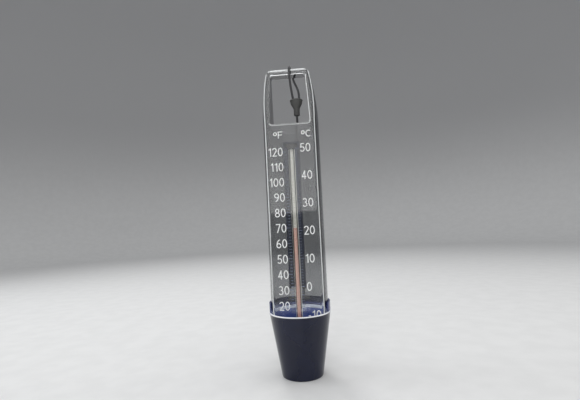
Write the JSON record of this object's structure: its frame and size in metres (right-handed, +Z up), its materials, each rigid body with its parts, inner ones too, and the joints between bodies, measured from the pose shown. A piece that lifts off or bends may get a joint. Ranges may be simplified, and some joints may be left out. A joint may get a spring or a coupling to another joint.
{
  "type": "pool thermometer",
  "caption": "Upright pool thermometer: clear flat scale face on a round-backed smoked casing, glass spirit tube in a dark trough, dark blue scoop cup at the foot and a hanging cord.",
  "frame": {"origin": "centre of the base's flat underside", "axes": "+Z up the tube, the scale face looks along -Y, +X is to the reader's right"},
  "size_m": [0.0504, 0.086, 0.2527],
  "materials": {
    "clear_plastic": "clear, polished",
    "smoked_plastic": "smoked, polished",
    "navy_trough": "satin",
    "dark_plastic": "satin",
    "cup_blue": "mirror gloss, dark blue",
    "tube_glass": "clear, polished",
    "white_enamel": "glossy white",
    "red_spirit": "clear red liquid",
    "black_rubber": "matt",
    "ballast_steel": "plain",
    "dark_cord": "braided, matt"
  },
  "bodies": {
    "casing": {"front_plate": "clear_plastic", "rear_shell": "smoked_plastic", "end_cap": "smoked_plastic", "scale_channel": "navy_trough", "stem_saddle": "dark_plastic", "upper_bush": "black_rubber", "lower_grommet": "black_rubber", "glass_stem": "tube_glass", "glass_bulb": "tube_glass", "bulb_spirit": "red_spirit", "spirit_column": "red_spirit", "enamel_strip": "white_enamel", "cord_loop": "dark_cord", "cord_stopper": "black_rubber", "cord_lead": "dark_cord", "cord_coil": "dark_cord", "cord_tie": "black_rubber", "cord_end_knot": "dark_cord"},
    "cup": {"cup_shell": "cup_blue", "cup_collar": "cup_blue", "ballast_disc": "ballast_steel", "base_cap": "dark_plastic"},
    "meniscus": {"spirit_meniscus": "red_spirit"}
  },
  "joints": [
    {"name": "cup_pull", "type": "slide", "parent": "casing", "child": "cup", "axis": [0, 0, -1], "range_m": [0, 0.075]},
    {"name": "spirit_level", "type": "slide", "parent": "casing", "child": "meniscus", "axis": [0, 0, 1], "range_m": [-0.0691, 0.0646], "deforming": ["spirit_column"]}
  ]
}
